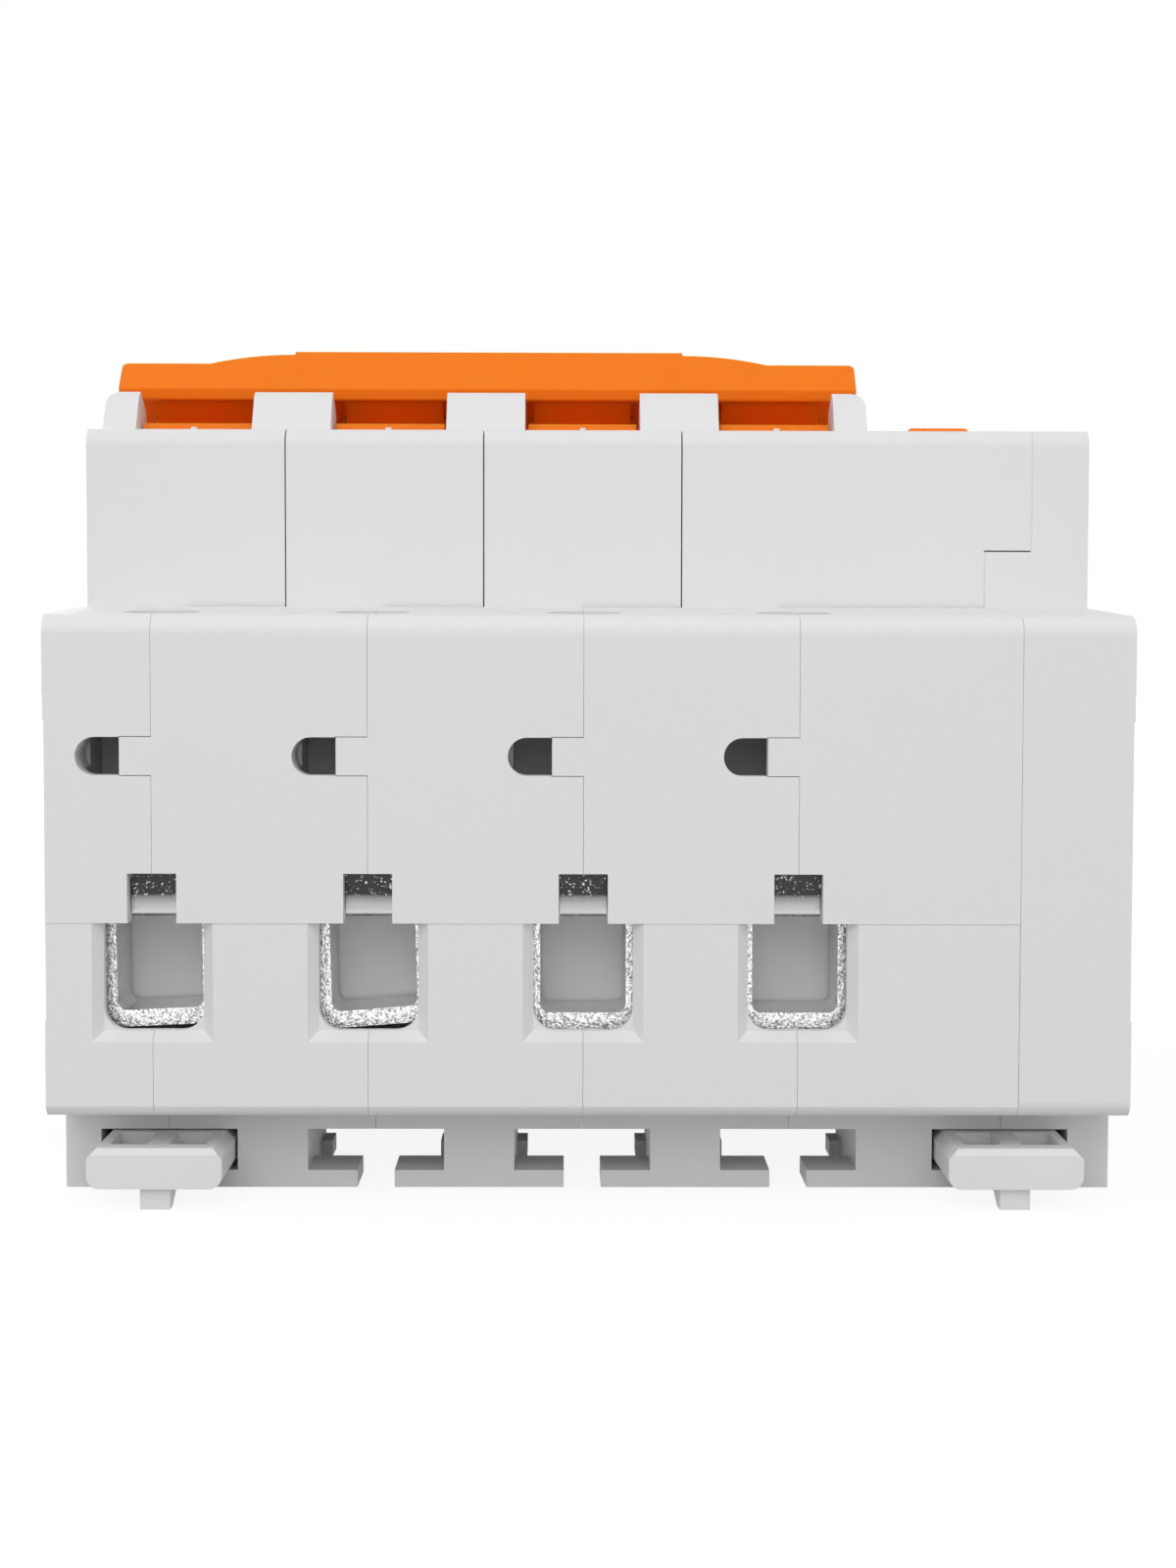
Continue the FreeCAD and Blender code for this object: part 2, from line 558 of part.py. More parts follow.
def rivet_tools():
    tools = []
    for tag, y, z in RIVETS:
        for side_name, side in SIDES:
            name = "%s_%s" % (tag, side_name)
            at = "%d * %s" % (side, y)
            tools.append(rod("rivet_hole_" + name, "rivet_radius + rivet_play", "x", (LEFT + " - 1", at, z), WIDTH + " + 2"))
            tools.append(rod("rivet_sink_left_" + name, "rivet_head_radius + 0.3", "x", (LEFT + " - 1", at, z), "rivet_sink + 1"))
            tools.append(rod("rivet_sink_right_" + name, "rivet_head_radius + 0.3", "x",
                             (RIGHT + " - rivet_sink", at, z), "rivet_sink + 1"))
    return tools


def housing():
    """The whole housing with its hollows, later parted into shells."""
    nibs = []
    for side_name, side in SIDES:
        for index in range(POLES):
            nibs.append(block("nib_%s_%d" % (side_name, index), about(pole_x(index), "nib_size"), span(side, "sweep_radius", "sweep_radius + 1"),
                              ("nose_height - 1", "nose_height + nib_size")))
    blank = joined("housing_outer", [housing_blank()] + guards() + nibs)
    tools = []
    for side_name, side in SIDES:
        for index in range(POLES):
            tools += entry_tools("%s_%d" % (side_name, index), pole_x(index), side)
            tools += channel_tools("%s_%d" % (side_name, index), pole_x(index), side)
        tools += channel_tools("%s_%d" % (side_name, POLES), RESIDUAL_X, side)
    for tag, x in (("left", (LEFT + " - 1", LEFT + " + side_recess")), ("right", (RIGHT + " - side_recess", RIGHT + " + 1"))):
        tools.append(block("side_recess_" + tag, x, ("-%s - 1" % FACE, FACE + " + 1"), ("recess_low", "recess_high")))
    for side_name, side in SIDES:
        tools.append(block("face_step_" + side_name, (LEFT + " - 1", COVER_X), span(side, FACE + " - step_depth", FACE + " + 1"),
                           ("face_low - 1", "entry_high")))
    tools += cavity_tools() + rivet_tools()
    return cut("housing_hollow", blank, joined("housing_tools", tools))


def crest(index):
    """The space round one guard, above the top of the nose; guard 0 is the left end guard."""
    centre = bound_x(index)
    low, high = about(centre, GUARD_WIDTH + " + 0.4")
    above = ("nose_height + nose_seam", "nose_height + 20")
    return block("crest_%d" % index, (low, high), ("-" + NOSE, NOSE), above)


def tongue(name, play):
    """The end cover's tongues on both faces of the nose, or their room in the next shell."""
    x = (COVER_X + " + nose_seam / 2 - " + play, COVER_NOSE_X + " + 0.5")
    parts = []
    for side_name, side in SIDES:
        y = span(side, NOSE + " - tongue_depth - " + play, NOSE + " + 1")
        parts.append(block("%s_%s" % (name, side_name), x, y, ("nose_root - 0.5", "nose_root + nose_gap + tongue_height + tongue_rise + " + play)))
    return parts


def vent_tabs(name, pole, play):
    """Tabs of one shell that close the vents' ends in its neighbour, or their room there."""
    x = ("%s - vent_tab - %s" % (pole_x(pole), play), pole_x(pole) + " + 0.5")
    z = ("vent_level - vent_height / 2 - " + play, "vent_level + vent_height / 2 + " + play)
    return [block("%s_%s" % (name, side_name), x, span(side, FACE + " - vent_depth", FACE + " + 1"), z) for side_name, side in SIDES]


def space(index, last):
    """The space of one shell: a slice of the terminal blocks, a slice of the nose and the bridge that joins them."""
    name = "space_%d" % (index + 1)
    ends = [LEFT + " - 1"] + [pole_x(pole) for pole in range(POLES)] + [COVER_X, RIGHT + " + 1"]
    tops = [LEFT + " - 1"] + [bound_x(pole) for pole in range(1, POLES)] + [COVER_NOSE_X, COVER_NOSE_X, RIGHT + " + 1"]
    low, high = ends[index] + " + seam / 2", ends[index + 1] + " - seam / 2"
    nose_low, nose_high = tops[index] + " + nose_seam / 2", tops[index + 1] + " - nose_seam / 2"
    tall, reach = ("-base_drop - 1", "nose_height + 20"), FACE + " + 1"
    parts = [
        block(name + "_body", (low, high), ("-(%s)" % reach, reach), (tall[0], "nose_root - nose_gap / 2")),
        block(name + "_load", (low, high), ("-(%s)" % reach, "-(%s + nose_gap)" % NOSE), tall),
        block(name + "_line", (low, high), ("%s + nose_gap" % NOSE, reach), tall),
    ]
    if index == last:
        parts.append(block(name + "_bridge", (nose_low, nose_high), ("-(%s)" % reach, reach), tall))
        return joined(name, parts + tongue("tongue", "0"))
    if index < POLES:
        top = "nose_height"
        parts.append(block(name + "_nose", (nose_low, nose_high), ("-" + NOSE, NOSE), ("nose_root + nose_gap / 2", top)))
        parts.append(block(name + "_bridge", (nose_low, high), ("-(%s)" % reach, reach), (tall[0], top)))
        parts.append(crest(index + 1))
        rise = about(bound_x(index + 1), GUARD_WIDTH + " + 0.4")
        parts.append(block(name + "_rise", (rise[0], nose_high), ("-" + NOSE, NOSE), ("nose_height - 1", "nose_height + 20")))
        if index == 0:
            left_end = (LEFT + " - 1", bound_x(0) + " + %s / 2 + 0.2" % GUARD_WIDTH)
            parts.append(block(name + "_end_rise", left_end, ("-" + NOSE, NOSE), ("nose_height - 1", "nose_height + 20")))
        parts.append(block(name + "_nib", about(pole_x(index), "nib_size * 2"), ("-" + NOSE, NOSE), ("nose_height - 1", "nose_height + 1")))
    if index > 0:
        parts += vent_tabs(name + "_tab", index - 1, "0")
    whole = joined(name, parts)
    rooms = vent_tabs(name + "_tab_room", index, "tab_play") if index < POLES else []
    if index == POLES - 1:
        rooms += tongue("tongue_room", "nose_seam")
    return cut(name + "_cleared", whole, joined(name + "_rooms", rooms)) if rooms else whole


def shells():
    """Five shells and an end cover, parted at the pole middles below and at the module boundaries in the nose."""
    whole = housing()
    last = POLES + 1
    for index in range(last + 1):
        label = "end_cover" if index == last else "shell_%d" % (index + 1)
        node(common(label + "_solid", whole, space(index, last)), label)


def rail_clip(tag, x):
    """A sliding clip: chamfered bar, nose that grips the rail, pockets with a rib between and a pull tab."""
    nose = "(%s - clip_reach)" % RAIL
    ledge = "-(rail_lip + 0.1)"
    points = [("-" + FACE, CLIP_LOW), ("-" + FACE, CLIP_HIGH + " - clip_bevel"), ("-(%s - clip_bevel)" % FACE, CLIP_HIGH),
              ("-(%s + 0.4)" % RAIL, CLIP_HIGH), ("-(%s + 0.4)" % RAIL, ledge), ("-" + nose, ledge), ("-" + nose, ledge + " - 0.7"),
              ("-(%s + 0.8)" % nose, CLIP_LOW)]
    low, high = about(x, "clip_width")
    lengthwise = prism("clip_" + tag, "YZ_Plane", points, low, high)
    points = [(low, CLIP_LOW), (low, CLIP_HIGH + " - clip_chamfer"), (low + " + clip_chamfer", CLIP_HIGH),
              (high + " - clip_chamfer", CLIP_HIGH), (high, CLIP_HIGH + " - clip_chamfer"), (high, CLIP_LOW)]
    across = prism("clip_across_" + tag, "XZ_Plane", points, "-(%s + 1)" % FACE, "-(%s - 1)" % nose)
    bottom = min(v.Z for v in across.Shape.Vertexes)
    rounded(across, "clip_round", lambda e: along(e, 1) and close(middle(e).z, bottom))
    body = common("clip_body_" + tag, lengthwise, across)
    reach = "tab_length"
    tab_points = [("-" + FACE + " + 0.5", CLIP_LOW + " + 0.2"), ("-" + FACE + " + 0.5", CLIP_LOW + " - tab_drop"),
                  ("-" + FACE + " + 1.9", CLIP_LOW + " - tab_drop"), ("-" + FACE + " + " + reach, CLIP_LOW),
                  ("-" + FACE + " + " + reach, CLIP_LOW + " + 0.2")]
    low, high = about(x, "tab_width")
    tab = prism("clip_tab_" + tag, "YZ_Plane", tab_points, low, high)
    rib = "0.9"
    pockets = []
    for name, (a, b) in (("left", ("%s - clip_width / 2 + 1.6" % x, "%s - %s" % (x, rib))),
                         ("right", ("%s + %s" % (x, rib), "%s + clip_width / 2 - 1.6" % x))):
        pockets.append(block("clip_pocket_%s_%s" % (name, tag), (a, b), ("-%s + 2.2" % FACE, "-%s - 1" % FOOT),
                             (CLIP_HIGH + " - clip_pocket", CLIP_HIGH + " + 1")))
    whole = joined("clip_whole_" + tag, [body, tab])
    node(cut("clip_solid_" + tag, whole, joined("clip_pockets_" + tag, pockets)), "rail_clip_" + tag)


def rivets():
    parts = []
    for tag, y, z in RIVETS:
        for side_name, side in SIDES:
            at = "%d * %s" % (side, y)
            name = "%s_%s" % (tag, side_name)
            start = LEFT + " + rivet_sink"
            shank = rod("rivet_shank_" + name, "rivet_radius", "x", (start, at, z), WIDTH + " - 2 * rivet_sink")
            left = rod("rivet_left_" + name, "rivet_head_radius", "x", (LEFT + " + rivet_sink - rivet_head", at, z), "rivet_head")
            right = rod("rivet_right_" + name, "rivet_head_radius", "x", (RIGHT + " - rivet_sink", at, z), "rivet_head")
            parts.append(joined("rivet_" + name, [shank, left, right]))
    node(group("rivets_all", parts), "housing_rivets")


def tilt(thing):
    """Turns a piece of the handle, drawn upright about its axle, to the off position."""
    thing.Placement = FreeCAD.Placement(Vector(0, 0, 0), FreeCAD.Rotation(Vector(1, 0, 0), size("rest_tilt")))
    bind(thing, "Placement.Base.z", "pivot_height")
    bind(thing, "Placement.Rotation.Angle", "rest_tilt")
    return thing


def bar_web(name, low, high):
    """The web that stands under the bar behind the stems, as a solid or as the groove for it in a toggle."""
    back = "bar_back - 0.4"
    points = [("web_front", "bar_web - 0.5"), ("web_front", "bar_root + 0.1"), (back, "bar_root + 0.1"), (back, "bar_web")]
    return prism(name, "YZ_Plane", points, low, high)


def toggle(index):
    """Drum on the axle, stem up to the bar and heel that closes the slot below the lever."""
    x = pole_x(index)
    low, high = about(x, "toggle_width")
    drum = rod("drum_%d" % index, "drum_radius", "x", (low, "0", "0"), "toggle_width")
    stem_low, stem_high = about(x, "stem_width")
    stem = block("stem_%d" % index, (stem_low, stem_high), ("-stem_front", "web_front"), ("drum_radius - 2", "bar_root"))
    wedges = []
    for name, sign, first, second in (("heel", "-", "heel_start", "heel_end"), ("skirt_rear", "", "skirt_start", "skirt_end"),
                                      ("skirt_front", "-", "skirt_start", "skirt_end")):
        corners = [("0", "0")] + [("%s20 * sin(%s)" % (sign, angle), "20 * cos(%s)" % angle) for angle in (first, second)]
        wedges.append(prism("%s_wedge_%d" % (name, index), "YZ_Plane", corners, low, high))
    disc = rod("heel_disc_%d" % index, "heel_radius", "x", (low, "0", "0"), "toggle_width")
    heel = common("heel_%d" % index, disc, joined("wedges_%d" % index, wedges))
    bore = rod("toggle_bore_%d" % index, "pivot_radius + pivot_play", "x", (low + " - 1", "0", "0"), "toggle_width + 2")
    groove = bar_web("toggle_groove_%d" % index, low + " - 1", high + " + 1")
    tools = joined("toggle_tools_%d" % index, [bore, groove])
    solid = cut("toggle_solid_%d" % index, joined("toggle_whole_%d" % index, [drum, stem, heel]), tools)
    node(tilt(solid), "toggle_%d" % (index + 1))


def bar_plan():
    """Outline of the bar seen along the lever: straight in front, deeper in the middle with curved shoulders."""
    left = size("bar_left") - (POLES * size("module_width") + size("residual_width")) / 2
    right = left + POLES * size("module_width") - size("bar_left") - size("bar_right")
    centre = (left + right) / 2
    half = size("bar_middle") / 2
    back, deep = size("bar_back"), size("bar_back_middle")
    low = deep - size("bar_step")
    ease = size("bar_ease")
    radius = (ease ** 2 + (low - back) ** 2) / (2 * (low - back))
    corner = 0.6
    front = -size("bar_lip") - 1

    def ease_mid(side):
        across = ease / 2
        return Vector(centre + side * (half + across), low - radius + math.sqrt(radius ** 2 - across ** 2), 0)

    def corner_arc(side):
        edge = left if side < 0 else right
        slant = corner * (1 - math.sqrt(0.5))
        return (Vector(edge, back - corner, 0), Vector(edge - side * slant, back - slant, 0), Vector(edge - side * corner, back, 0))

    a0, a1, a2 = corner_arc(-1)
    b0, b1, b2 = corner_arc(1)
    p = [Vector(centre - half - ease, back, 0), Vector(centre - half, low, 0), Vector(centre - half, deep, 0),
         Vector(centre + half, deep, 0), Vector(centre + half, low, 0), Vector(centre + half + ease, back, 0)]
    edges = [Part.Arc(a0, a1, a2).toShape(), Part.makeLine(a2, p[0]), Part.Arc(p[0], ease_mid(-1), p[1]).toShape(),
             Part.makeLine(p[1], p[2]), Part.makeLine(p[2], p[3]), Part.makeLine(p[3], p[4]),
             Part.Arc(p[4], ease_mid(1), p[5]).toShape(), Part.makeLine(p[5], b2), Part.Arc(b2, b1, b0).toShape(),
             Part.makeLine(b0, Vector(right, front, 0)), Part.makeLine(Vector(right, front, 0), Vector(left, front, 0)),
             Part.makeLine(Vector(left, front, 0), a0)]
    face = Part.Face(Part.Wire(edges))
    plan = doc.addObject("Part::Feature", "bar_plan")
    plan.Shape = face.extrude(Vector(0, 0, size("bar_top") - size("bar_root") + 2))
    plan.Placement = FreeCAD.Placement(Vector(0, 0, size("bar_root") - 1), FreeCAD.Rotation())
    return plan


def handle_bar():
    rear = "bar_back_middle + 0.3"
    points = [("-stem_front", "bar_root"), ("-stem_front - 0.4", "bar_root + 0.7"), ("-bar_lip", "bar_lip_level"),
              ("-bar_edge", "bar_top"), (rear, "bar_top"), (rear, "bar_lip_level - 0.4"), ("bar_back - 0.4", "bar_root")]
    start = LEFT + " + bar_left"
    profile = prism("bar_profile", "YZ_Plane", points, start, start + " + " + BAR_LENGTH)
    rounded(profile, "0.3", lambda e: along(e, 0) and middle(e).y < -size("bar_edge") + 0.01 and middle(e).z > size("bar_lip_level") - 0.01)
    web = bar_web("bar_web_plate", start + " + 0.5", start + " + %s - 0.5" % BAR_LENGTH)
    node(tilt(joined("bar_solid", [common("bar_grip", profile, bar_plan()), web])), "handle_bar")


def test_button():
    x = about(BUTTON_X, "button_width")
    low_y, high_y = "-button_setback - button_length / 2", "-button_setback + button_length / 2"
    points = [(x[0], FLANGE_TOP + " - button_flange"), (x[0], BUTTON_TOP), (x[1], BUTTON_TOP), (x[1], FLANGE_TOP + " - button_flange")]
    body = prism("button_body", "XZ_Plane", points, low_y, high_y)
    top = size("nose_height") + size("button_proud")
    rounded(body, "0.5", lambda e: close(e.BoundBox.ZMin, top))
    flange = block("button_flange_solid", about(BUTTON_X, "button_width + 2 * button_flange"),
                   (low_y + " - button_flange", high_y + " + button_flange"), (FLANGE_TOP + " - button_flange", FLANGE_TOP))
    node(joined("button_solid", [body, flange]), "test_button")
    under = "(%s - button_flange)" % FLANGE_TOP
    helix = doc.addObject("Part::Helix", "spring_helix")
    bind(helix, "Radius", "spring_radius")
    bind(helix, "Height", "spring_length - spring_wire * 2")
    bind(helix, "Pitch", "(spring_length - spring_wire * 2) / %d" % SPRING_TURNS)
    wire = doc.addObject("Part::RegularPolygon", "spring_section")
    wire.Polygon = 4
    bind(wire, "Circumradius", "spring_wire")
    wire.Placement = FreeCAD.Placement(Vector(0, 0, 0), FreeCAD.Rotation(Vector(1, 0, 0), 90))
    bind(wire, "Placement.Base.x", "spring_radius")
    spring = doc.addObject("Part::Sweep", "spring_sweep")
    spring.Sections = [wire]
    doc.recompute()
    spring.Spine = (helix, ["Edge%d" % (i + 1) for i in range(len(helix.Shape.Edges))])
    spring.Solid = True
    spring.Frenet = True
    bind(spring, "Placement.Base.x", BUTTON_X)
    bind(spring, "Placement.Base.y", "-button_setback")
    bind(spring, "Placement.Base.z", under + " - spring_length + spring_wire")
    node(spring, "test_spring")
    plate_top = under + " - spring_length"
    node(block("contact_plate", about(BUTTON_X, "button_width + 2"), ("-nose_cavity_half", high_y), (plate_top + " - 1", plate_top)),
         "test_contact")


def terminal(tag, x, side):
    """A cage bent from sheet, its screw and the place of both over the conductor opening."""
    axis_y = "%d * %s" % (side, SCREW_Y)
    span_y = span(side, CAGE_FRONT + " - cage_length", CAGE_FRONT)

    def frame(name, inset, low, high, radius):
        a, b = "%s - cage_width / 2 + %s" % (x, inset), "%s + cage_width / 2 - %s" % (x, inset)
        body = prism(name, "XZ_Plane", [(a, low), (a, high), (b, high), (b, low)], *span_y)
        return rounded(body, radius, lambda e: along(e, 1))

    outer = frame("cage_outer_" + tag, "0", "cage_low", "cage_high", "cage_round")
    inner = frame("cage_inner_" + tag, "cage_sheet", "cage_low + cage_sheet", "cage_high - cage_roof", "cage_round - cage_sheet")
    thread = rod("cage_thread_" + tag, "screw_radius + screw_play", "z", (x, axis_y, "cage_high - cage_roof - 1"), "cage_roof + 2")
    node(cut("cage_solid_" + tag, outer, joined("cage_tools_" + tag, [inner, thread])), "cage_" + tag)
    head_low = "(chamber_high + collar_height + 0.05)"
    tip = "(plate_low + plate_thickness + screw_tip)"
    shank = rod("screw_shank_" + tag, "screw_radius", "z", (x, axis_y, tip), head_low + " - " + tip + " + 0.1")
    head = rod("screw_head_" + tag, "screw_head_radius", "z", (x, axis_y, head_low), "screw_head_height")
    top = head_low + " + screw_head_height"
    slots = []
    for name, width, length in (("a", "recess_width", "screw_head_radius * 1.5"), ("b", "screw_head_radius * 1.5", "recess_width")):
        slots.append(block("screw_slot_%s_%s" % (name, tag), about(x, width), about(axis_y, length),
                           (top + " - recess_depth", top + " + 0.1")))
    whole = joined("screw_whole_" + tag, [shank, head])
    node(cut("screw_solid_" + tag, whole, joined("screw_slots_" + tag, slots)), "screw_" + tag)


def clamping_plates(side_name, side, inner):
    """Fixed plates over the conductors, each with an upturned lip that shows in the slit of the face."""
    parts = []
    for index in range(POLES):
        x = pole_x(index)
        lip_front = "(%s - face_wall + 0.4)" % FACE
        strip = block("strip_%s_%d" % (side_name, index), about(x, "plate_width"), span(side, inner, CAGE_FRONT + " - 0.5"),
                      ("plate_low", "plate_low + plate_thickness"))
        low, high = about(x, "notch_width - 2 * lip_play")
        back, front = CAGE_FRONT + " - 1", lip_front
        sign = "-" if side < 0 else ""
        points = [(sign + "(%s)" % back, "plate_low"), (sign + "(%s)" % front, "plate_low"),
                  (sign + "(%s)" % front, "plate_low + lip_height"), (sign + "(%s - 1.3)" % front, "plate_low + lip_height"),
                  (sign + "(%s - 1.3)" % front, "plate_low + plate_thickness"), (sign + "(%s)" % back, "plate_low + plate_thickness")]
        lip = prism("lip_%s_%d" % (side_name, index), "YZ_Plane", points, low, high)
        reach = size("body_length") / 2 - size("face_wall") + 0.4
        rounded(lip, "1.0", lambda e: along(e, 0) and close(abs(middle(e).y), reach) and close(middle(e).z, size("plate_low")))
        parts.append(joined("plate_%s_%d" % (side_name, index), [strip, lip]))
    node(group("plates_" + side_name, parts), "clamping_plates_" + side_name)


def contacts():
    """Contact shaft with one arm for each pole, and the fixed contacts they close on."""
    shaft_low = SHAFT_START + " + 0.2"
    shaft = rod("shaft_solid", "shaft_radius", "x", (shaft_low, "-shaft_setback", "shaft_level"), SHAFT_LENGTH + " - 0.4")
    node(shaft, "contact_shaft")
    fixed = []
    for index in range(POLES):
        x = pole_x(index)
        y = "-shaft_setback"
        hub = rod("arm_hub_%d" % index, "shaft_radius + 1.2", "x", ("%s - arm_width / 2" % x, y, "shaft_level"), "arm_width")
        blade = block("arm_blade_%d" % index, about(x, "arm_width"), about(y, "arm_thickness"), ("shaft_level - arm_length - 1.5", "shaft_level"))
        button = rod("arm_button_%d" % index, "contact_radius", "y", (x, y + " + arm_thickness / 2 - 0.1", "shaft_level - arm_length + 0.5"),
                     "contact_height + 0.1")
        bore = rod("arm_bore_%d" % index, "shaft_radius", "x", ("%s - arm_width / 2 - 1" % x, y, "shaft_level"), "arm_width + 2")
        node(cut("arm_solid_%d" % index, joined("arm_whole_%d" % index, [hub, blade, button]), bore), "contact_arm_%d" % (index + 1))
        face = "fixed_face"
        level = "(shaft_level - arm_length + 0.5)"
        plate = block("fixed_plate_%d" % index, about(x, "fixed_width"), (face + " + contact_height", face + " + contact_height + 1.2"),
                      (level + " - 3.5", level + " + 4"))
        pad = rod("fixed_pad_%d" % index, "contact_radius", "y", (x, face, level), "contact_height + 0.1")
        tail = block("fixed_tail_%d" % index, about(x, "fixed_width"), (face + " + contact_height", "coil_start"),
                     (level + " + 2.5", level + " + 4"))
        fixed.append(joined("fixed_contact_%d" % index, [plate, pad, tail]))
    node(group("fixed_all", fixed), "fixed_contacts")


def coil(index):
    """Magnetic trip coil: thick turns side by side round a hollow core, revolved from one half section."""
    body = doc.addObject("PartDesign::Body", "coil_%d" % index)
    x, level = pole_x(index), "(plate_low + plate_thickness + coil_play + coil_radius)"
    turn = "(%s - coil_end - coil_start) / %d" % (CAVITY, COIL_TURNS)
    points = [("coil_start", "core_radius")]
    for step in range(COIL_TURNS):
        points += [("coil_start + %s * %g" % (turn, step), "coil_radius - coil_groove"), ("coil_start + %s * %g" % (turn, step + 0.5), "coil_radius")]
    points += [("%s - coil_end" % CAVITY, "coil_radius - coil_groove"), ("%s - coil_end" % CAVITY, "core_radius")]
    section = outline(body, "coil_section_%d" % index, "YZ_Plane", points, "0")
    turned = body.newObject("PartDesign::Revolution", "coil_turned_%d" % index)
    turned.Profile = section
    turned.ReferenceAxis = (section, ["H_Axis"])
    turned.Angle = 360
    bind(body, "Placement.Base.x", x)
    bind(body, "Placement.Base.z", level)
    node(body, "magnet_coil_%d" % (index + 1))


def arc_chute(index):
    x = pole_x(index)
    card = block("chute_card_%d" % index, about(x, "module_width - 2 * partition - 2 * chute_gap"), ("-chute_start", "-chute_start + chute_pitch * %d" % CHUTE_PLATES),
                 ("cavity_low", "cavity_low + chute_card"))
    plates = []
    for step in range(CHUTE_PLATES):
        start = "-chute_start + chute_pitch * %g" % (step + 0.3)
        plates.append(block("chute_plate_%d_%d" % (index, step), about(x, "module_width - 2 * partition - 2 * chute_gap"), (start, start + " + chute_plate"),
                            ("cavity_low + chute_card / 2", "cavity_low + chute_height")))
    node(joined("chute_solid_%d" % index, [card] + plates), "arc_chute_%d" % (index + 1))


def bimetals():
    strips = []
    for index in range(POLES):
        strips.append(block("bimetal_%d" % index, about(pole_x(index), "bimetal_width"), about("-(%s - bimetal_gap)" % CAVITY, "bimetal_thickness"),
                            ("cavity_low", "shaft_level - 2")))
    node(group("bimetal_all", strips), "bimetal_strips")


def residual_section():
    """Summation transformer, trip relay and circuit board of the residual section."""
    level = "(%s + toroid_radius + 0.1)" % RESIDUAL_FLOOR
    low = bound_x(POLES) + " + partition + residual_gap"
    width = "(residual_width - 2 * partition - board_gap - board_thickness - 2 * residual_gap)"
    ring = rod("toroid_ring", "toroid_radius", "x", (low, "toroid_offset", level), width)
    bore = rod("toroid_bore_hole", "toroid_bore", "x", (low + " - 1", "toroid_offset", level), width + " + 2")
    node(cut("toroid_solid", ring, bore), "summation_transformer")
    relay_y = "-(toroid_radius + 2)"
    relay = block("relay_case", (low, low + " + " + width), about(relay_y, "relay_length"), (RESIDUAL_FLOOR, RESIDUAL_FLOOR + " + relay_height"))
    pin = rod("relay_pin", "1.2", "z", ("%s + %s / 2" % (low, width), relay_y, RESIDUAL_FLOOR + " + relay_height - 0.1"), "3")
    node(joined("relay_solid", [relay, pin]), "trip_relay")
    wall = RIGHT + " - partition"
    node(block("board_solid", ("%s - board_gap - board_thickness" % wall, wall + " - board_gap"), about("0", "board_length"),
               (RESIDUAL_FLOOR + " + 0.3", RESIDUAL_FLOOR + " + 0.3 + board_height")), "circuit_board")


def write_all():
    doc.recompute()
    for thing in doc.Objects:
        if "Invalid" in thing.State or "Error" in thing.State:
            raise RuntimeError("%s failed: %s" % (thing.Name, thing.State))
    os.makedirs("parts", exist_ok=True)
    for thing in nodes:
        shape = thing.Shape
        if shape.isNull() or not shape.isValid():
            raise RuntimeError("%s has no valid shape" % thing.Label)
        shape.exportStep("parts/%s.step" % thing.Label)
        print(thing.Label, len(shape.Solids), round(shape.Volume, 2))


shells()
rail_clip("left", pole_x(0))
rail_clip("right", RESIDUAL_X)
rivets()
node(rod("axle_solid", "pivot_radius", "x", (AXLE_START + " + 0.1", "0", "pivot_height"), AXLE_LENGTH + " - 0.2"), "toggle_axle")
handle_bar()
test_button()
for place in range(POLES):
    toggle(place)
    coil(place)
    arc_chute(place)
for end_name, end in SIDES:
    for place in range(POLES):
        terminal("%s_%d" % (end_name, place + 1), pole_x(place), end)
clamping_plates("load", -1, CAVITY + " - bimetal_gap + bimetal_thickness / 2")
clamping_plates("line", 1, CAVITY + " - plate_reach")
contacts()
bimetals()
residual_section()
write_all()
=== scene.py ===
import json
import math
import bpy
import bmesh
from mathutils import Matrix, Vector


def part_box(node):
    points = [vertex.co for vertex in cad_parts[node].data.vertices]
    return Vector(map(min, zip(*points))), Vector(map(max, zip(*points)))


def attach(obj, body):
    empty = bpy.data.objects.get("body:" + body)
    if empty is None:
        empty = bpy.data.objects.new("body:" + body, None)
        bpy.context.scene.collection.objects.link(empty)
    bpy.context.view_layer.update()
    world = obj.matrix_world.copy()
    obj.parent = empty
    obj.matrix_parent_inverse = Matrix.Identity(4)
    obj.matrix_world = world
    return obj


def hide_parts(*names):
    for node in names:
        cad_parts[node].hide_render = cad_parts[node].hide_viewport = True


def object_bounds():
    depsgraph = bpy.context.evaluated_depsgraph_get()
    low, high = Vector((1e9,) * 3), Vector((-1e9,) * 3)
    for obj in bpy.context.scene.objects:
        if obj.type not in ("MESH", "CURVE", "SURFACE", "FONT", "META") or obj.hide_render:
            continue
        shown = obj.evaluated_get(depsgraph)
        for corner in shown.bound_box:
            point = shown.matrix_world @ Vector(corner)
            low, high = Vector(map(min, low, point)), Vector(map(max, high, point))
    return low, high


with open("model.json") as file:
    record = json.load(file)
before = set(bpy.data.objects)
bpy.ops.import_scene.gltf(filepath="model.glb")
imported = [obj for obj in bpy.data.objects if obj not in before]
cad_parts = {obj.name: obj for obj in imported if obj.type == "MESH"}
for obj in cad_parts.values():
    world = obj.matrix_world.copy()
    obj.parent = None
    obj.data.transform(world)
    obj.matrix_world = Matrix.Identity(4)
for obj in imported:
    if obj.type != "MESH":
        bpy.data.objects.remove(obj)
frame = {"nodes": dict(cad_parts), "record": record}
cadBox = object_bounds()
nodes = frame["nodes"]
mm = 0.001
print("frame loaded:", len(nodes), "parts")


# Colours are written as on a screen, from 0 to 255, and turned into amounts of light.
def colour(red, green, blue):
    def straight(value):
        value /= 255
        return value / 12.92 if value <= 0.04045 else ((value + 0.055) / 1.055) ** 2.4
    return (straight(red), straight(green), straight(blue), 1)


